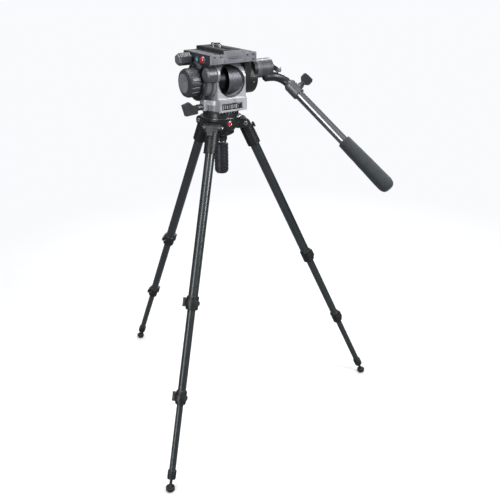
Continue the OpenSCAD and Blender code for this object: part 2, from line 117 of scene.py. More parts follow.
BAR = along(BAR_MID, BAR_WAY)


# ---------------------------------------------------------------- materials

class Graph:
    """A material's nodes, with one call for each kind of pattern. Lengths in the patterns are in metres."""

    MIX_A, MIX_B, MIX_OUT = 6, 7, 2        # sockets of a Mix node in its colour mode
    EDGE_LOW, EDGE_HIGH = 0.07, 0.3        # how far a bevelled normal leaves the flat one at an edge

    def __init__(self, name):
        self.mat = bpy.data.materials.new(name)
        self.mat.use_nodes = True
        self.tree = self.mat.node_tree
        self.tree.nodes.clear()
        self.out = self.add("OutputMaterial")
        self.bsdf = self.add("BsdfPrincipled")
        self.tree.links.new(self.bsdf.outputs[0], self.out.inputs["Surface"])
        self.place = self.add("TexCoord").outputs["Object"]

    def add(self, kind, props=None, ins=None):
        node = self.tree.nodes.new("ShaderNode" + kind)
        for key, value in (props or {}).items():
            setattr(node, key, value)
        for key, value in (ins or {}).items():
            self.put(node.inputs[key], value)
        return node

    def put(self, socket, value):
        if isinstance(value, bpy.types.NodeSocket):
            self.tree.links.new(value, socket)
        elif hasattr(value, "__len__") and len(value) == 3 and socket.type == "RGBA":
            socket.default_value = (*value, 1)
        else:
            socket.default_value = value

    def set(self, **values):
        """Sets the shader's own sockets: each name has _ for a space."""
        for key, value in values.items():
            self.put(self.bsdf.inputs[key.replace("_", " ")], value)

    def math(self, op, a, b=0.0, clamp=False):
        return self.add("Math", {"operation": op, "use_clamp": clamp}, {0: a, 1: b}).outputs[0]

    def noise(self, size, detail=3.0, roughness=0.55, stretch=None):
        """Noise whose largest features are about size across."""
        vector = self.place
        if stretch:
            vector = self.add("Mapping", None, {"Vector": vector, "Scale": stretch}).outputs[0]
        ins = {"Vector": vector, "Scale": 1 / size, "Detail": detail, "Roughness": roughness}
        return self.add("TexNoise", None, ins).outputs["Fac"]

    def cells(self, size):
        """Distance from the middle of the nearest cell, for cells about size across."""
        ins = {"Vector": self.place, "Scale": 1 / size}
        return self.add("TexVoronoi", None, ins).outputs["Distance"]

    def span(self, value, low, high, to_low=0.0, to_high=1.0):
        """Maps low..high to to_low..to_high, clamped."""
        ins = {"Value": value, "From Min": low, "From Max": high, "To Min": to_low, "To Max": to_high}
        return self.add("MapRange", {"clamp": True}, ins).outputs[0]

    def blend(self, share, a, b):
        """Colour a, going over to b as share goes from 0 to 1."""
        ins = {"Factor": share, self.MIX_A: a, self.MIX_B: b}
        return self.add("Mix", {"data_type": "RGBA"}, ins).outputs[self.MIX_OUT]

    def dot(self, way, origin=None):
        """How far the point is along way, from origin."""
        vector = self.place
        if origin is not None:
            vector = self.add("VectorMath", {"operation": "SUBTRACT"}, {0: vector, 1: tuple(origin)}).outputs[0]
        return self.add("VectorMath", {"operation": "DOT_PRODUCT"}, {0: vector, 1: tuple(way)}).outputs["Value"]

    def length(self, a, b):
        """The length of the vector with the two components."""
        return self.math("SQRT", self.math("ADD", self.math("MULTIPLY", a, a), self.math("MULTIPLY", b, b)))

    def line(self, value, at, half):
        """1 where value is within half of at."""
        near = self.math("COMPARE", value, at)
        near.node.inputs[2].default_value = half
        return near

    def edges(self, radius):
        """1 on convex and concave edges, 0 on the open surface."""
        bevel = self.add("Bevel", {"samples": 4}, {"Radius": radius}).outputs[0]
        flat = self.add("NewGeometry").outputs["Normal"]
        same = self.add("VectorMath", {"operation": "DOT_PRODUCT"}, {0: bevel, 1: flat}).outputs["Value"]
        return self.span(self.math("SUBTRACT", 1.0, same), self.EDGE_LOW, self.EDGE_HIGH)

    def relief(self, height, strength, distance, radius=0.0006):
        """Bump on top of softened edges."""
        under = self.add("Bevel", {"samples": 4}, {"Radius": radius}).outputs[0]
        ins = {"Height": height, "Strength": strength, "Distance": distance, "Normal": under}
        return self.add("Bump", None, ins).outputs[0]


def paint(name, base, worn, rough, grain, peel, metal=0.0, coat=0.0, wear=0.5, fleck=0.06, radius=0.0006,
          second=None, where=None):
    """Coated metal or moulded plastic: mottled colour, speckle, a fine grain, brighter edges and rubbed patches.
    base and worn are colours, rough and peel the roughness and the grain's depth. where gives, from the graph,
    the share of a second colour."""
    g = Graph(name)
    cloud = g.noise(0.035, 4)
    speck = g.span(g.noise(grain, 2, 0.7), 0.45, 0.75)
    dark = [c * 0.82 for c in base]
    lit = [min(1, c * 1.16 + 0.004) for c in base]
    colour = g.blend(g.span(cloud, 0.35, 0.65), dark, lit)
    if where:
        dark, lit = [c * 0.84 for c in second], [min(1, c * 1.12) for c in second]
        colour = g.blend(where(g), colour, g.blend(g.span(cloud, 0.35, 0.65), dark, lit))
    flecked = [min(1, c * 1.5 + fleck * 0.3) for c in base]
    colour = g.blend(g.math("MULTIPLY", speck, fleck * 4, True), colour, flecked)
    scuff = g.math("MULTIPLY", g.edges(radius), g.span(g.noise(0.012, 5, 0.7), 0.42, 0.66))
    colour = g.blend(g.math("MULTIPLY", scuff, wear), colour, worn)
    rub = g.span(g.noise(0.02, 5, 0.65), 0.3, 0.7, rough - 0.07, rough + 0.09)
    rub = g.math("SUBTRACT", rub, g.math("MULTIPLY", scuff, 0.2 * wear))
    fine = g.math("ADD", g.noise(grain, 2, 0.6), g.math("MULTIPLY", g.noise(0.004, 2), 0.6))
    g.set(Base_Color=colour, Roughness=rub, Normal=g.relief(fine, peel, 0.0002, radius))
    g.set(Metallic=metal, Coat_Weight=coat, Coat_Roughness=0.22)
    return g.mat


def carbon(name, leg):
    """Lacquered twill laid round a leg's tube: tows 2.1 mm wide, over two and under two, stepping one each row."""
    g = Graph(name)
    inv = leg.inverted()
    origin = leg.translation
    out, across, up = (g.dot(Vector(inv[k][:3]), origin) for k in range(3))
    tow, tows_round = 0.0021, 40
    round_ = g.math("MULTIPLY", g.math("ARCTAN2", across, out), tows_round / (2 * math.pi))
    high = g.math("DIVIDE", up, tow)
    i, j = g.math("FLOOR", round_), g.math("FLOOR", high)
    over = g.math("LESS_THAN", g.math("FLOORED_MODULO", g.math("ADD", i, j), 4), 2)
    crown_u, crown_v = (
        g.math("MULTIPLY", g.math("MULTIPLY", w, g.math("SUBTRACT", 1.0, w)), 4)
        for w in (g.math("FRACT", round_), g.math("FRACT", high)))
    tall = g.add("Mix", {"data_type": "FLOAT"}, {"Factor": over, 2: crown_u, 3: crown_v}).outputs[0]
    thread = g.noise(0.0006, 2, 0.6, stretch=(1, 1, 0.2))
    # Painted sheen: the weave's tows running one way are painted lighter than the others, for the way the fibre
    # catches light
    colour = g.blend(over, (0.011, 0.016, 0.018), (0.033, 0.046, 0.050))
    # Painted shade: each tow is painted darker towards its edges, where it dips under its neighbours
    colour = g.blend(g.math("MULTIPLY", g.math("SUBTRACT", 1.0, tall), 0.55), colour, (0.005, 0.006, 0.007))
    colour = g.blend(g.math("MULTIPLY", thread, 0.25), colour, (0.06, 0.072, 0.076))
    haze = g.span(g.noise(0.05, 4, 0.6), 0.3, 0.7, 0.0, 0.12)
    colour = g.blend(haze, colour, (0.08, 0.092, 0.096))
    smear = g.span(g.noise(0.03, 5, 0.7), 0.3, 0.72, 0.22, 0.36)
    g.set(Base_Color=colour, Roughness=smear, Metallic=0.3)
    g.set(Coat_Weight=1.0, Coat_Roughness=0.24)
    g.set(Normal=g.relief(tall, 0.05, 0.0001, 0.0004))
    return g.mat


def turned(name, base, rough, way, origin, pitch=0.0005, metal=1.0, streak=0.5, shaft=None, vary=1.0):
    """Metal turned on a lathe or polished: fine lines at right angles to way, pitch apart.
    Short of shaft along way it is black."""
    g = Graph(name)
    h = g.dot(way, origin)
    line = g.add("TexNoise", {"noise_dimensions": "1D"}, {"W": h, "Scale": 1 / pitch, "Detail": 3.0}).outputs["Fac"]
    smear = g.noise(0.015, 4, 0.6)
    dark = [c * 0.7 for c in base]
    colour = g.blend(g.math("MULTIPLY", g.span(line, 0.35, 0.7), streak), base, dark)
    colour = g.blend(g.span(smear, 0.45, 0.8, 0, 0.35), colour, [c * 0.55 for c in base])
    if shaft is not None:
        colour = g.blend(g.math("LESS_THAN", h, shaft), colour, (0.012, 0.014, 0.015))
    g.set(Base_Color=colour, Metallic=metal)
    mix = g.math("ADD", line, g.math("MULTIPLY", smear, 0.6))
    g.set(Roughness=g.span(mix, 0.5, 1.2, rough - 0.06 * vary, rough + 0.12 * vary))
    g.set(Normal=g.relief(line, 0.12 * vary, 0.00006, 0.0004))
    return g.mat


def thread_metal(name):
    """A screw's thread as fine ridges round Z."""
    g = Graph(name)
    half_pitch = 0.0008
    tooth = g.math("DIVIDE", g.math("PINGPONG", g.dot(Z), half_pitch), half_pitch)
    # Painted shade and highlight: the thread's roots are painted dark and its crests light
    colour = g.blend(tooth, (0.22, 0.22, 0.23), (0.66, 0.67, 0.69))
    colour = g.blend(g.span(g.noise(0.004, 4), 0.5, 0.8, 0, 0.5), colour, (0.35, 0.33, 0.30))
    g.set(Base_Color=colour, Metallic=1.0, Roughness=g.span(g.noise(0.002, 3), 0.3, 0.7, 0.2, 0.42))
    g.set(Normal=g.relief(tooth, 0.8, 0.0005, 0.0002))
    return g.mat


def foam_material():
    """Closed-cell foam with open pores, handled smoother towards the bar's end."""
    g = Graph("foam")
    cell = g.cells(0.0011)
    pore = g.cells(0.0026)
    cloud = g.noise(0.03, 5, 0.6)
    colour = g.blend(g.span(cloud, 0.3, 0.7), (0.012, 0.016, 0.018), (0.024, 0.031, 0.034))
    # Painted highlight: the raised middle of each cell is painted lighter
    colour = g.blend(g.span(cell, 0.0, 0.7, 0.55, 0.0), colour, (0.055, 0.067, 0.072))
    # Painted shade: the pits of the open pores are painted near black
    colour = g.blend(g.span(pore, 0.0, 0.22, 0.7, 0.0), colour, (0.007, 0.009, 0.010))
    down = g.dot(BAR_WAY, BAR_MID)
    held = g.math("MULTIPLY", g.span(down, 0.04, 0.15), g.span(g.noise(0.02, 3), 0.45, 0.65))
    rough = g.math("SUBTRACT", g.span(cloud, 0.3, 0.7, 0.80, 0.92), g.math("MULTIPLY", held, 0.12))
    g.set(Base_Color=colour, Roughness=rough)
    tall = g.math("ADD", g.math("MULTIPLY", cell, -0.6), g.math("MULTIPLY", g.span(pore, 0, 0.3), 0.8))
    g.set(Sheen_Weight=0.25, Sheen_Roughness=0.5, Normal=g.relief(tall, 0.45, 0.0003, 0.001))
    return g.mat


def rubber_material():
    """Dull rubber with a pebbled skin and dust in patches."""
    g = Graph("rubber")
    cloud = g.noise(0.012, 5, 0.65)
    dust = g.span(g.noise(0.006, 6, 0.75), 0.5, 0.8)
    colour = g.blend(g.span(cloud, 0.3, 0.7), (0.010, 0.010, 0.011), (0.022, 0.022, 0.023))
    colour = g.blend(g.math("MULTIPLY", dust, 0.3), colour, (0.10, 0.095, 0.088))
    g.set(Base_Color=colour, Roughness=g.span(cloud, 0.3, 0.7, 0.62, 0.82))
    g.set(Normal=g.relief(g.cells(1 / 900), 0.35, 0.0002))
    return g.mat


def red_material():
    """Glossy lacquered plastic, a little cloudy, with fine handling marks."""
    g = Graph("red")
    cloud = g.noise(0.004, 3)
    colour = g.blend(g.span(cloud, 0.35, 0.65), (0.42, 0.004, 0.010), (0.62, 0.012, 0.020))
    colour = g.blend(g.math("MULTIPLY", g.span(g.noise(0.001, 5, 0.7), 0.6, 0.75), 0.25), colour, (0.75, 0.10, 0.10))
    g.set(Base_Color=colour, Roughness=g.span(g.noise(0.003, 4), 0.35, 0.65, 0.14, 0.28))
    g.set(Coat_Weight=1.0, Coat_Roughness=0.05, Normal=g.relief(cloud, 0.05, 0.0001, 0.0005))
    return g.mat


def vial_material(at):
    """The level's glass: cyan fluid, a ring line, and a pale bubble off to one side."""
    g = Graph("vial")
    y, z = g.dot(Y, at), g.dot(Z, at)
    ring_r, bubble_r, bubble_y, bubble_z = 0.0034, 0.0020, 0.0009, 0.0007
    far = g.length(y, z)
    bubble = g.length(g.math("SUBTRACT", y, bubble_y), g.math("SUBTRACT", z, bubble_z))
    tint = g.blend(g.span(far, 0.001, 0.0062), (0.10, 0.58, 0.62), (0.03, 0.20, 0.30))
    tint = g.blend(g.math("MULTIPLY", g.span(g.noise(0.003, 3), 0.4, 0.6), 0.35), tint, (0.42, 0.24, 0.62))
    tint = g.blend(g.line(far, ring_r, 0.00022), tint, (0.01, 0.02, 0.03))
    tint = g.blend(g.span(bubble, 0.0017, bubble_r, 1, 0), tint, (0.62, 0.86, 0.86))
    tint = g.blend(g.math("MULTIPLY", g.line(bubble, bubble_r, 0.00018), 0.8), tint, (0.02, 0.10, 0.12))
    g.set(Base_Color=tint, Roughness=g.span(g.noise(0.004, 3), 0.3, 0.7, 0.04, 0.1))
    g.set(Coat_Weight=1.0, Coat_Roughness=0.02, IOR=1.5)
    return g.mat


# Masks for a second colour on one solid

ROSETTE_R = 0.0264


def past(way, limit):
    """1 beyond limit along way."""
    return lambda g: g.math("GREATER_THAN", g.dot(way), limit)


def near_rosette(g, low, high):
    """1 within the rosette's cylinder, between two places along X."""
    far = g.length(g.dot(Y, ROSETTE), g.dot(Z, ROSETTE))
    x = g.dot(X)
    inside = g.math("MULTIPLY", g.math("GREATER_THAN", x, low), g.math("LESS_THAN", x, high))
    return g.math("MULTIPLY", inside, g.math("LESS_THAN", far, ROSETTE_R))


def hub_and_collar(g):
    """1 on the bar arm's hub and on its collar, which starts 31 mm above the clamp knob."""
    down = g.dot(BAR_WAY, KNOB_AT)
    out = g.add("VectorMath", {"operation": "SUBTRACT"}, {0: g.place, 1: tuple(KNOB_AT)}).outputs[0]
    side = g.add("VectorMath", {"operation": "CROSS_PRODUCT"}, {0: out, 1: tuple(BAR_WAY)}).outputs[0]
    reach = g.add("VectorMath", {"operation": "LENGTH"}, {0: side}).outputs["Value"]
    collar = g.math("MULTIPLY", g.math("GREATER_THAN", down, -0.031), g.math("LESS_THAN", reach, 0.05))
    return g.math("MAXIMUM", near_rosette(g, 0.11, 0.1484), collar)


# Colours that several materials share, and where the second colours begin
CAST, CAST_WORN = (0.012, 0.0125, 0.0135), (0.13, 0.135, 0.14)
GREY, GREY_WORN = (0.27, 0.276, 0.305), (0.52, 0.53, 0.56)
KNOB, KNOB_WORN = (0.034, 0.039, 0.044), (0.20, 0.21, 0.22)
SHADED_LEFT_FACE_X, REAR_FACE_Y, LEVER_X, WING_X = 0.0721, 0.0696, 0.1117, 0.1633

M_BLACK = paint("cast_black", CAST, CAST_WORN, 0.36, 0.0007, 0.22, coat=0.1, fleck=0.04, radius=0.0009)
M_GREY = paint("head_grey", GREY, GREY_WORN, 0.32, 0.0005, 0.14, metal=0.4, coat=0.25, wear=0.35,
               fleck=0.04, radius=0.0011)
# Painted shade: the cradle's left face is painted a much darker grey, standing in for the shade that falls on that
# side
M_CRADLE = paint("cradle_grey_painted_shade", GREY, GREY_WORN, 0.32, 0.0005, 0.14, metal=0.4, coat=0.25, wear=0.35,
                 fleck=0.04, radius=0.0011, second=(0.050, 0.056, 0.063), where=past(-X, SHADED_LEFT_FACE_X))
# Painted light: the yoke takes the head's grey painted much lighter, standing in for the light that falls on its
# faces
M_HEAD_LIT = paint("head_grey_painted_lit", (0.52, 0.53, 0.57), (0.66, 0.67, 0.70), 0.31, 0.0005, 0.12, metal=0.35,
                coat=0.2, wear=0.12, fleck=0.03, radius=0.0014)
M_DARK = paint("head_dark", (0.030, 0.033, 0.039), (0.22, 0.23, 0.25), 0.30, 0.0005, 0.10, metal=0.4,
               coat=0.25, fleck=0.04)
M_NYLON = paint("black_nylon", (0.009, 0.0095, 0.0105), (0.085, 0.09, 0.095), 0.40, 0.0009, 0.35, fleck=0.05)
M_KNOB = paint("knob_grey", KNOB, KNOB_WORN, 0.36, 0.0006, 0.16, coat=0.1, fleck=0.04, radius=0.0012)
M_PLATE = paint("plate_grey", (0.040, 0.043, 0.048), (0.42, 0.43, 0.45), 0.38, 0.0004, 0.3, metal=0.5,
                wear=0.8, second=(0.27, 0.276, 0.30), where=past(-Y, REAR_FACE_Y))
M_MARK = paint("white_mark", (0.62, 0.63, 0.64), (0.3, 0.3, 0.3), 0.5, 0.0005, 0.2, wear=0.6)
M_FAINT = paint("grey_mark", (0.26, 0.265, 0.28), (0.1, 0.1, 0.1), 0.5, 0.0005, 0.2, wear=0.6)
M_STEEL = turned("steel", (0.62, 0.63, 0.65), 0.24, Z, None)
M_PIN = turned("pin_steel", (0.66, 0.67, 0.69), 0.22, Vector((0.6, 0.5, 0.62)), None, pitch=0.0007)
M_ARM = paint("bar_arm", (0.026, 0.028, 0.032), (0.34, 0.35, 0.37), 0.34, 0.0006, 0.14, metal=0.35,
              coat=0.15, fleck=0.04, radius=0.0009, second=(0.095, 0.099, 0.110), where=hub_and_collar)
M_RIGHT = paint("right_arm", CAST, CAST_WORN, 0.36, 0.0007, 0.22, coat=0.1, fleck=0.04, radius=0.0009,
                second=(0.12, 0.125, 0.138), where=lambda g: near_rosette(g, 0.0965, 0.13))
M_LEVER = paint("lever_grey", KNOB, KNOB_WORN, 0.36, 0.0006, 0.16, coat=0.1, fleck=0.04,
                radius=0.0012, second=(0.13, 0.136, 0.15), where=past(-X, LEVER_X))
M_SOFT = paint("soft_grey", (0.085, 0.09, 0.10), (0.26, 0.27, 0.29), 0.30, 0.0006, 0.12, metal=0.2,
               coat=0.3, fleck=0.03, radius=0.0012)
M_WING = paint("wing_grey", (0.020, 0.0215, 0.0235), KNOB_WORN, 0.36, 0.0006, 0.16, coat=0.1, fleck=0.04,
               radius=0.0012, second=(0.20, 0.206, 0.225), where=past(X, WING_X))
M_DRUM = turned("drum_grey", (0.15, 0.155, 0.172), 0.36, X, None, pitch=0.0012, metal=0.6, shaft=0.0041)
M_TUBE = turned("bar_gunmetal", (0.27, 0.28, 0.30), 0.2, BAR_WAY, None, pitch=0.004, metal=0.9,
                streak=0.15, vary=0.3)
M_THREAD = thread_metal("thread")
M_FOAM = foam_material()
M_RUBBER = rubber_material()
M_RED = red_material()
M_VIAL = vial_material(middle("bubble_level"))
CARBON = {s: carbon("carbon_" + s, leg_frame(s)) for s in SIDES}

LOOKS = {
    "crown": M_BLACK, "hinge_pins": M_PIN, "half_ball": M_DARK, "ball_stud": M_STEEL, "clamp_washer": M_BLACK,
    "tie_down_handle": M_DARK, "pan_base": M_GREY, "pan_drag_dial": M_NYLON, "pan_lock_wing": M_KNOB,
    "yoke": M_HEAD_LIT, "tilt_drum": M_DRUM, "cradle": M_CRADLE, "right_arm": M_RIGHT, "balance_ring": M_BLACK,
    "balance_knob": M_KNOB, "tilt_drag_knob": M_SOFT, "plate_lock_lever": M_LEVER, "safety_button": M_RED,
    "bubble_level": M_VIAL, "slide_plate": M_PLATE, "plate_rubber": M_RUBBER, "camera_screws": M_THREAD,
    "rosette_lever": M_WING, "bar_arm": M_ARM, "bar_knob": M_KNOB, "bar_tube": M_TUBE, "foam_grip": M_FOAM,
}
for side in SIDES:
    for part in ("shoulder", "angle_latch", "upper_collar", "upper_lever", "lower_collar", "lower_lever", "ankle"):
        LOOKS[part + "_" + side] = M_NYLON
    for part in ("upper_tube", "middle_tube", "lower_tube"):
        LOOKS[part + "_" + side] = CARBON[side]
    LOOKS["foot_" + side] = M_RUBBER
for node, obj in frame["nodes"].items():
    for k in range(max(1, len(obj.material_slots))):
        if k >= len(obj.material_slots):
            obj.data.materials.append(LOOKS[node])
        obj.material_slots[k].material = LOOKS[node]


# ---------------------------------------------------------------- pieces

def finish_piece(name, bm, mat, body, at=None, bevel=0.0, sharp=35):
    """Turns bm into an object that rides on body. at is the frame that bm was drawn in, bevel a width in metres."""
    if at is not None:
        bmesh.ops.transform(bm, matrix=at, verts=bm.verts)
    bmesh.ops.remove_doubles(bm, verts=bm.verts, dist=1e-7)
    bmesh.ops.recalc_face_normals(bm, faces=bm.faces)
    mesh = bpy.data.meshes.new(name)
    bm.to_mesh(mesh)
    bm.free()
    mesh.shade_smooth()
    mesh.set_sharp_from_angle(angle=math.radians(sharp))
    mesh.materials.append(mat)
    obj = bpy.data.objects.new(name, mesh)
    bpy.context.scene.collection.objects.link(obj)
    if bevel:
        mod = obj.modifiers.new("edges", "BEVEL")
        mod.width, mod.segments, mod.limit_method, mod.harden_normals = bevel, 2, "ANGLE", True
    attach(obj, body)
    return obj


def revolve(bm, profile, at=None, turns=48, start=0.0, arc=360.0, hexed=0.0):
    """Adds the solid that the closed profile of (radius, height) points in mm sweeps round the frame's Z.
    Radii up to hexed follow a hexagon."""
    full = arc >= 359.99
    count = turns if full else turns + 1
    rows = []
    for i in range(count):
        a = math.radians(start + arc * i / turns)
        row = []
        for r, h in profile:
            if 0 < r <= hexed:
                r *= math.cos(math.pi / 6) / math.cos(a % (math.pi / 3) - math.pi / 6)
            p = Vector((r * math.cos(a), r * math.sin(a), h)) * MM
            row.append(bm.verts.new(at @ p if at else p))
        rows.append(row)
    n = len(profile)
    for i in range(turns):
        p, q = rows[i], rows[(i + 1) % count]
        for k in range(n):
            m = (k + 1) % n
            if profile[k][0] or profile[m][0]:
                bm.faces.new((p[k], q[k], q[m], p[m]))
    if not full:
        bm.faces.new(rows[0])
        bm.faces.new(rows[-1])


def block(bm, at, size):
    """Adds a box of size mm, centred on the frame at."""
    scale = Matrix.Diagonal((size[0] * MM, size[1] * MM, size[2] * MM, 1))
    bmesh.ops.create_cube(bm, size=1.0, matrix=at @ scale)


def screw(bm, at, r=3.0, h=1.6):
    """Adds a socket-head screw with a hexagonal recess. It stands on the plane Z = 0 of the frame at."""
    profile = [(0, h - 1.2), (r * 0.5, h - 1.2), (r * 0.5, h), (r - 0.4, h), (r, h - 0.4), (r, -0.3), (0, -0.3)]
    revolve(bm, profile, at, turns=36, hexed=r * 0.5)


def here(point, way=Z):
    """A frame at a point given in mm, with Z along way."""
    return along(Vector(point) * MM, way)


# Bowl rim, badge and hinge screws on the crown
bm = bmesh.new()
revolve(bm, [(50.4, -4.2), (56.2, -4.2), (56.2, -2.6), (55.6, -2.2), (51.6, -2.2), (50.4, -3.0)], turns=96)
finish_piece("bowl_rim", bm, M_STEEL, "crown", Matrix.Translation(BALL))

CROWN_R, BADGE_DROP, BADGE_TURN = 0.058, 0.016, -97
badge_at = along(BALL + ray(BADGE_TURN) * CROWN_R - Z * BADGE_DROP, ray(BADGE_TURN))
bm = bmesh.new()
revolve(bm, [(0, 1.3), (3.6, 1.1), (5.2, 0.6), (5.6, -0.6), (0, -0.6)])
finish_piece("crown_badge", bm, M_RED, "crown", badge_at)
bm = bmesh.new()
revolve(bm, [(5.5, -0.6), (5.5, 1.0), (6.0, 1.5), (6.8, 1.1), (7.2, -0.6)])
finish_piece("badge_ring", bm, M_PIN, "crown", badge_at)

HINGE_HALF = 0.0268            # from the middle of a leg's hinge to the end of its pin
bm = bmesh.new()
for side in SIDES:
    leg = leg_frame(side)
    across = leg.col[1].xyz
    for s in (-1, 1):
        screw(bm, along(leg.translation + across * s * HINGE_HALF, across * s), r=5.4, h=1.5)
finish_piece("hinge_screws", bm, M_PIN, "crown")

# Leg fittings on each collar: the clamp's eye and rings, its screw, and ribs on its lever.
# A collar is given by its radius and its distance down the leg from the hinge, in mm.
COLLARS = (("upper", 17, 481, "leg_"), ("lower", 14.5, 739, "middle_"))
RING_UP, LEVER_T = 13.5, 4.35
for side in SIDES:
    leg = leg_frame(side)
    for part, r, s, body in COLLARS:
        bm = bmesh.new()
        eye = leg @ here((0, r - 1.5, -s), Y)
        revolve(bm, [(2.4, 0), (2.4, 4.2), (3.6, 4.8), (5.4, 4.6), (6.0, 4.0), (6.4, 0)], eye, turns=36)
        for z in (-RING_UP, RING_UP):
            revolve(bm, [(r - 0.6, z - 1.2), (r + 0.35, z - 0.8), (r + 0.35, z + 0.8), (r - 0.6, z + 1.2)],
                    leg @ here((0, 0, -s)), turns=64)
        finish_piece(part + "_clamp_eye_" + side, bm, M_NYLON, body + side)
        bm = bmesh.new()
        screw(bm, leg @ here((0, r + 1.6, -s), Y), r=2.3, h=1.0)
        finish_piece(part + "_clamp_screw_" + side, bm, M_PIN, body + side)
        bm = bmesh.new()
        for a in range(14, 56, 6):
            rib = leg @ here(ray(a) * (r + LEVER_T) - Z * s, ray(a)) @ Matrix.Diagonal((1, 7.5, 1, 1))
            revolve(bm, [(0, 0.7), (0.5, 0.5), (0.8, -0.4), (0, -0.4)], rib, turns=12)
        finish_piece(part + "_lever_ribs_" + side, bm, M_NYLON, part + "_lock_" + side)

# Pan base: degree ticks on its side; drag dial: index marks
PAN_BASE_R, SCALE_FOOT, TICK_STEP = 0.04605, 0.0165, 5
DIAL_R, DIAL_UP = 0.0511, 0.0124
bm = bmesh.new()
for k in range(360 // TICK_STEP):
    way = ray(k * TICK_STEP)
    tall = 5.0 if k % 6 == 0 else 3.0
    block(bm, along(BALL + way * PAN_BASE_R + Z * (SCALE_FOOT + tall / 2 * MM), way), (0.5, tall, 0.12))
finish_piece("pan_scale", bm, M_MARK, "ball")
bm = bmesh.new()
for a in range(-125, -50, 10):
    block(bm, along(BALL + ray(a) * DIAL_R + Z * DIAL_UP, ray(a)), (1.6, 4.2, 0.3))
finish_piece("dial_marks", bm, M_MARK, "drag_dial", bevel=0.0001)

# Dial insert in the housing's recess: dark panel, upright bars and a bright frame
PANEL_X, PANEL_Y, PANEL_UP = 0.003, -0.0554, 0.0295
panel = Matrix.Translation(Vector((PANEL_X, PANEL_Y, BALL.z + PANEL_UP)))
bm = bmesh.new()
block(bm, panel @ here((0, 1.1, 0)), (65.4, 1.2, 17.4))
finish_piece("dial_panel", bm, M_BLACK, "pan", bevel=0.0003)
bm = bmesh.new()
bars = [(-28, 3.4), (-22, 2.4), (-15, 4.6), (-7.5, 2.2), (-1, 4.6), (6, 3.0), (13, 5.2)]     # place and width
for k, (x, w) in enumerate(bars):
    block(bm, panel @ here((x, 0, k % 2)), (w, 1.6, 11.5 - (k % 3)))
finish_piece("dial_bars", bm, M_FAINT, "pan", bevel=0.0004)
bm = bmesh.new()
for x, z, w, h in ((24.5, 7.7, 13, 1.4), (24.5, -7.7, 13, 1.4), (18.5, 0, 1.4, 16.8), (30.4, 0, 1.4, 16.8)):
    block(bm, panel @ here((x, -0.6, z)), (w, 2.4, h))
finish_piece("dial_frame", bm, M_PIN, "pan", bevel=0.0004)

# Painted shade: dark rings round the yoke's two windows stand in for the shaded inner walls of the holes; they are
# draped over the tower's rounded top
WINDOW_X, TOWER_R, TOWER_Y = 0.008, 0.048, 0.047
bm = bmesh.new()
for s in (-1, 1):
    ring = along(Vector((WINDOW_X, s * TOWER_Y, TILT.z)), Y * s)
    revolve(bm, [(39.3, -3.0), (39.3, 0.0), (40.2, 0.5), (41.8, 0.5), (42.2, 0.0), (42.2, -0.4), (40.05, -0.4),
                 (40.05, -3.0)], ring, turns=96)
for v in bm.verts:
    up = v.co.z - TILT.z
    if up > math.sqrt(TOWER_R ** 2 - TOWER_Y ** 2):
        v.co.y -= math.copysign(TOWER_Y - math.sqrt(TOWER_R ** 2 - up ** 2), v.co.y)
finish_piece("window_shade_rims", bm, M_BLACK, "pan")

# Platform: guide rails beside the plate, end screws, slot and cap lines on its rear face
REAR_Y, LEFT_X, TOP_Z = -70, -72.5, -10        # the platform's faces, in mm
RAIL_X = 38.2
bm = bmesh.new()
for s in (-1, 1):
    block(bm, here((s * RAIL_X, 0, TOP_Z + 0.2)), (6.6, 139, 0.6))
finish_piece("guide_rails", bm, M_BLACK, "tilt", bevel=0.0003)
bm = bmesh.new()
for x, z in ((-58, -16), (-40, -16), (44, -16), (62, -16), (62, -28)):
    screw(bm, here((x, REAR_Y, z), -Y), r=2.6, h=0.8)
for x, y in ((-64, -60), (-64, 60), (-50, -60), (-50, 60), (58, -60), (58, 60), (66, 0), (-66, 8)):
    screw(bm, here((x, y, TOP_Z)), r=2.8, h=0.8)
finish_piece("platform_screws", bm, M_NYLON, "tilt")
bm = bmesh.new()
for x, z, w, h in ((-63.5, -24, 0.9, 13), (5, -22, 40, 1.4), (38, -28, 1.0, 8), (-28, -28, 1.4, 9),
                   (68, -22, 0.9, 20)):
    block(bm, here((x, REAR_Y - 0.02, z)), (w, 0.3, h))
for y in (-62, 62):
    block(bm, here((LEFT_X - 0.02, y, -22)), (0.3, 0.9, 23))
finish_piece("platform_lines", bm, M_BLACK, "tilt")

# Button bezel and level bezel on the platform's left face
for name, node, r, mat in (("button_bezel", "safety_button", 8.1, M_PIN),
                           ("level_bezel", "bubble_level", 7.1, M_BLACK)):
    at = middle(node)
    bm = bmesh.new()
    revolve(bm, [(r, -0.5), (r, 1.2), (r + 0.5, 1.6), (r + 1.4, 1.4), (r + 1.8, 0.6), (r + 1.9, -0.5)], turns=64)
    finish_piece(name, bm, mat, "tilt", along(Vector((LEFT_X * MM, at.y, at.z)), -X))

# Knob faces, index ring and its dots
RING_FACE = 0.080              # the index ring's face, left of the head's middle
DOTS_R = 0.0436
RING_GAP = 29                  # half the gap in the ring round the drag knob, in degrees
ring_at = basis(TILT, Z, Y, -X)
way_to_drag = math.degrees(math.atan2(DRAG.y - TILT.y, DRAG.z - TILT.z))
bm = bmesh.new()
revolve(bm, [(0, 36.9), (8, 36.8), (8.6, 36.3), (16, 36.0), (24, 35.5), (28, 34.2), (29, 32.5), (0, 32.5)], turns=96)
finish_piece("balance_cap", bm, M_GREY, "balance", along(TILT - X * RING_FACE, -X))
bm = bmesh.new()
for h in (72.0, 75.6):
    revolve(bm, [(49.8, h - 0.35), (50.25, h - 0.2), (50.25, h + 0.2), (49.8, h + 0.35)], ring_at, 96,
            way_to_drag + RING_GAP, 360 - 2 * RING_GAP)
finish_piece("index_lines", bm, M_FAINT, "tilt")
bm = bmesh.new()
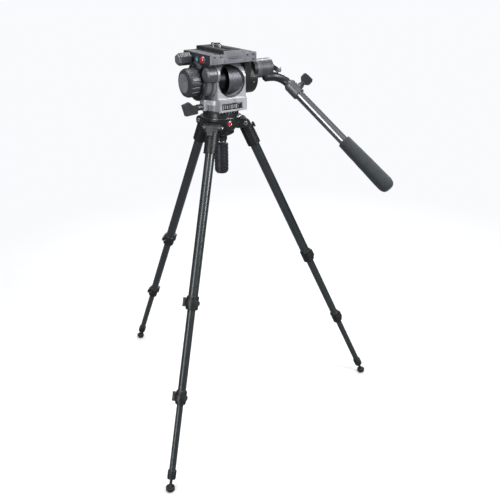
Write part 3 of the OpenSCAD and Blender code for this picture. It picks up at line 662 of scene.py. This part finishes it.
for k in range(9):
    spot = ring_at @ (ray(way_to_drag + 40 + k * 35) * DOTS_R + Z * RING_FACE)
    revolve(bm, [(0, 0.35), (1.1, 0.25), (1.5, -0.2), (0, -0.2)], along(spot, -X), turns=20)
finish_piece("index_dots", bm, M_FAINT, "tilt")
bm = bmesh.new()
revolve(bm, [(0, 18.1), (5, 17.8), (10, 16.9), (15.4, 14.4), (16.4, 12.6), (0, 12.6)], turns=64)
finish_piece("drag_cap", bm, M_SOFT, "tilt_drag", along(DRAG, -X))

# Housing screws on the right arm, clear of the rosette's boss, and lines round the rosette joint
ARM_FACE, ARM_MID = 0.096, 0.082               # the right arm's outer face and the middle of its side
SCREWS_R = 37
bm = bmesh.new()
for a in range(30, 390, 60):
    y, z = SCREWS_R * math.cos(math.radians(a)), SCREWS_R * math.sin(math.radians(a))
    if math.hypot(y + 20, z - 23) > 30:
        screw(bm, along(TILT + Vector((ARM_FACE, y * MM, z * MM)), X), r=2.6, h=1.2)
for z in (6, -10):
    screw(bm, along(TILT + Vector((ARM_MID, -44 * MM, z * MM)), -Y), r=2.2, h=0.9)
finish_piece("arm_screws", bm, M_PIN, "tilt")
bm = bmesh.new()
revolve(bm, [(0, 0.9), (9, 0.8), (19, 0.5), (20, 0.0), (20, -0.6), (0, -0.6)], along(TILT + X * ARM_FACE, X),
        turns=64)
finish_piece("arm_cap", bm, M_DARK, "tilt")
for name, body, places in (("boss_rings", "tilt", (102.0, 107.0, 110.8)),
                           ("hub_rings", "bar", (114.2, 121.0, 140.0, 144.5))):
    bm = bmesh.new()
    for h in places:
        revolve(bm, [(25.7, h - 0.5), (26.12, h - 0.35), (26.12, h + 0.35), (25.7, h + 0.5)],
                along(Vector((0, ROSETTE.y, ROSETTE.z)), X), turns=96)
    finish_piece(name, bm, M_BLACK, body)

# Neck ring of the tie-down handle
bm = bmesh.new()
revolve(bm, [(13.9, -74.9), (14.7, -75.3), (14.9, -77.0), (14.7, -78.7), (13.9, -79.1)], turns=64)
finish_piece("neck_ring", bm, M_STEEL, "tie_down", Matrix.Translation(BALL))

# Stop lever on the plate's front right corner
bm = bmesh.new()
block(bm, here((26, 61, 1.9)) @ Matrix.Rotation(math.radians(-28), 4, "Z"), (22, 5, 3.0))
revolve(bm, [(0, 4.6), (3.4, 4.4), (4.2, 3.6), (4.2, 0), (0, 0)], here((17, 65.5, 0)), turns=32)
finish_piece("stop_lever", bm, M_NYLON, "plate", bevel=0.0008)

# Foam grip: long sleeve with a domed end, soft dents and a rolled inner edge
TUBE_L, GRIP_L, GRIP_PAST = 0.398, 0.186, 0.010
grip_start = TUBE_L / 2 + GRIP_PAST - GRIP_L   # along the bar, from the middle of its tube
NECK_R, SWELL, NECK_H, SWELL_H, STEPS = 19.5, 3.4, 3.4, 160.5, 26
outline = [(14.0, 0.0), (17.2, 0.0), (18.6, 0.5), (19.3, 1.6), (NECK_R, NECK_H)]
outline += [(NECK_R + SWELL * (k / STEPS) ** 0.9, NECK_H + (SWELL_H - NECK_H) * k / STEPS)
            for k in range(1, STEPS + 1)]
outline += [(22.9, 164.0), (22.5, 168.5), (21.6, 172.8), (20.2, 176.6), (17.9, 180.2), (14.6, 183.2), (10.2, 185.2),
            (5.4, 185.9), (0.0, 186.0), (0.0, 184.0), (13.9, 177.0)]
bm = bmesh.new()
revolve(bm, [(r, h + grip_start / MM) for r, h in outline], turns=72)
for v in bm.verts:
    r = math.hypot(v.co.x, v.co.y)
    if r > 0.0165:             # the outer skin only
        push = noise.noise(v.co * 38) * 0.00035 + noise.noise(v.co * 130) * 0.00016
        v.co.x += v.co.x / r * (push - 0.0002)
        v.co.y += v.co.y / r * (push - 0.0002)
grip = finish_piece("foam_sleeve", bm, M_FOAM, "bar_tube", BAR, sharp=70)
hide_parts("foam_grip")

# ---------------------------------------------------------------- floor, light and camera

# Floor: plain and pale where the object stands on it, and as bright as the background further out
FLOOR_HALF, FADE_FROM, FADE_TO = 9.0, 0.7, 2.2
BACK_TINT, BACK_LEVEL = (0.97, 0.98, 1.0), 0.98
bm = bmesh.new()
bmesh.ops.create_grid(bm, x_segments=24, y_segments=24, size=FLOOR_HALF)
mesh = bpy.data.meshes.new("floor")
bm.to_mesh(mesh)
bm.free()
floor = bpy.data.objects.new("floor", mesh)
floor.location = (0, 0, CAD_BOX[0].z)
bpy.context.scene.collection.objects.link(floor)
g = Graph("floor")
seen = g.add("LightPath").outputs["Is Camera Ray"]
grain = g.span(g.noise(0.6, 3), 0.3, 0.7)
plain = g.blend(grain, (0.80, 0.80, 0.80), (0.84, 0.84, 0.84))
far = g.add("VectorMath", {"operation": "LENGTH"}, {0: g.place}).outputs["Value"]
lift = g.math("MULTIPLY", g.span(far, FADE_FROM, FADE_TO), seen)
g.set(Base_Color=g.blend(seen, (0.16, 0.16, 0.165), g.blend(lift, plain, (0, 0, 0))), Roughness=0.85)
g.set(Specular_IOR_Level=0.0, Emission_Color=BACK_TINT, Emission_Strength=g.math("MULTIPLY", lift, BACK_LEVEL))
mesh.materials.append(g.mat)

# World: white to the camera, and a dim light from above on the object
world = bpy.data.worlds.new("studio")
bpy.context.scene.world = world
world.use_nodes = True
tree = world.node_tree
sky = tree.nodes["Background"]
height = tree.nodes.new("ShaderNodeSeparateXYZ")
fade = tree.nodes.new("ShaderNodeMapRange")
fade.inputs["From Min"].default_value, fade.inputs["From Max"].default_value = 0.0, 0.9
fade.inputs["To Min"].default_value, fade.inputs["To Max"].default_value = 0.03, 0.45
tree.links.new(tree.nodes.new("ShaderNodeTexCoord").outputs["Generated"], height.inputs[0])
tree.links.new(height.outputs["Z"], fade.inputs["Value"])
seen = tree.nodes.new("ShaderNodeMix")
tree.links.new(tree.nodes.new("ShaderNodeLightPath").outputs["Is Camera Ray"], seen.inputs["Factor"])
tree.links.new(fade.outputs[0], seen.inputs[2])
seen.inputs[3].default_value = BACK_LEVEL
sky.inputs["Color"].default_value = (*BACK_TINT, 1)
tree.links.new(seen.outputs[0], sky.inputs["Strength"])


def softbox(name, place, target, size, power):
    """A rectangular light of size metres at place, facing target."""
    light = bpy.data.lights.new(name, "AREA")
    light.shape, light.size, light.size_y, light.energy = "RECTANGLE", size[0], size[1], power
    obj = bpy.data.objects.new(name, light)
    obj.location = place
    obj.rotation_euler = (Vector(target) - Vector(place)).to_track_quat("-Z", "Y").to_euler()
    bpy.context.scene.collection.objects.link(obj)


softbox("key", (1.1, -2.6, 1.3), (0, 0, -0.3), (0.9, 2.2), 95)
softbox("side", (-2.4, -1.0, 0.4), (0, 0, -0.5), (0.9, 2.8), 46)
softbox("rim", (1.9, 1.4, 1.2), (0, 0, -0.3), (0.4, 2.4), 42)
softbox("top", (-0.3, 0.5, 2.6), (0, 0, 0), (2.4, 2.4), 70)

# Camera: EYE_FAR from the crown, turned round it and raised, then aimed down and a little to the right
EYE_FAR = 1.965
turn, rise = math.radians(-31.35), math.radians(13)
pitch, yaw = math.radians(23.55), math.radians(2.45)
eye = Vector((0, 0, anchor("leg_spread_left").z)) + EYE_FAR * Vector(
    (math.sin(turn) * math.cos(rise), -math.cos(turn) * math.cos(rise), math.sin(rise)))
look = Matrix.Rotation(turn, 3, "Z") @ Vector(
    (math.sin(yaw) * math.cos(pitch), math.cos(yaw) * math.cos(pitch), -math.sin(pitch)))
lens = bpy.data.cameras.new("camera")
lens.lens, lens.sensor_width = 49.4, 36
lens.clip_start, lens.clip_end = 0.02, 60
camera = bpy.data.objects.new("camera", lens)
camera.location = eye
camera.rotation_euler = look.to_track_quat("-Z", "Y").to_euler()
bpy.context.scene.collection.objects.link(camera)
bpy.context.scene.camera = camera
bpy.context.scene.view_settings.view_transform = "Standard"

# Bring the scene up to date, with everything in place
bpy.context.view_layer.update()
